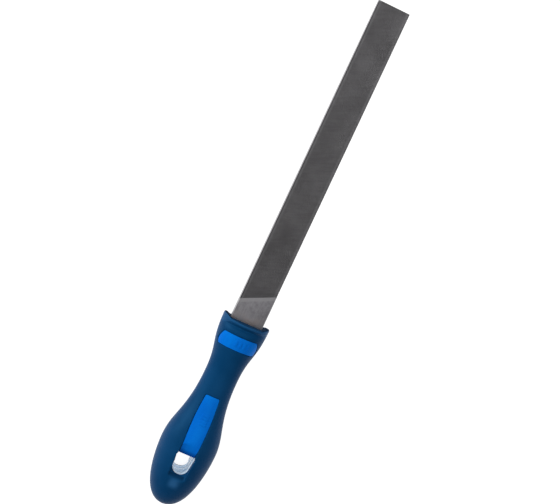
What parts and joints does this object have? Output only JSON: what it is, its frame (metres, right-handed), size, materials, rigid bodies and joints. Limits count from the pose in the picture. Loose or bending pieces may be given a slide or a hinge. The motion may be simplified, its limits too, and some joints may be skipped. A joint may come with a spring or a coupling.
{
  "type": "flat file",
  "caption": "Flat hand file: parallel toothed steel blade with a square tip, in an oval two-component plastic handle with a flared collar, a swollen grip and a hang hole.",
  "frame": {"origin": "centre of the hang hole, on the tool's long axis", "axes": "+X along the tool towards the blade's tip, +Y across the blade, +Z square to the blade's broad faces"},
  "size_m": [0.3246, 0.035, 0.0254],
  "materials": {
    "blade_steel": "dark toothed steel, bare forged heel",
    "core_plastic": "bright blue moulded plastic, satin",
    "grip_soft": "dark blue soft overmould, fine matt"
  },
  "bodies": {
    "handle": {"handle_core": "core_plastic", "grip_cover": "grip_soft"},
    "blade": {"file_blade": "blade_steel"}
  },
  "joints": [
    {"name": "tang_slide", "type": "slide", "parent": "handle", "child": "blade", "axis": [1, 0, 0], "range_m": [0, 0.066]}
  ]
}
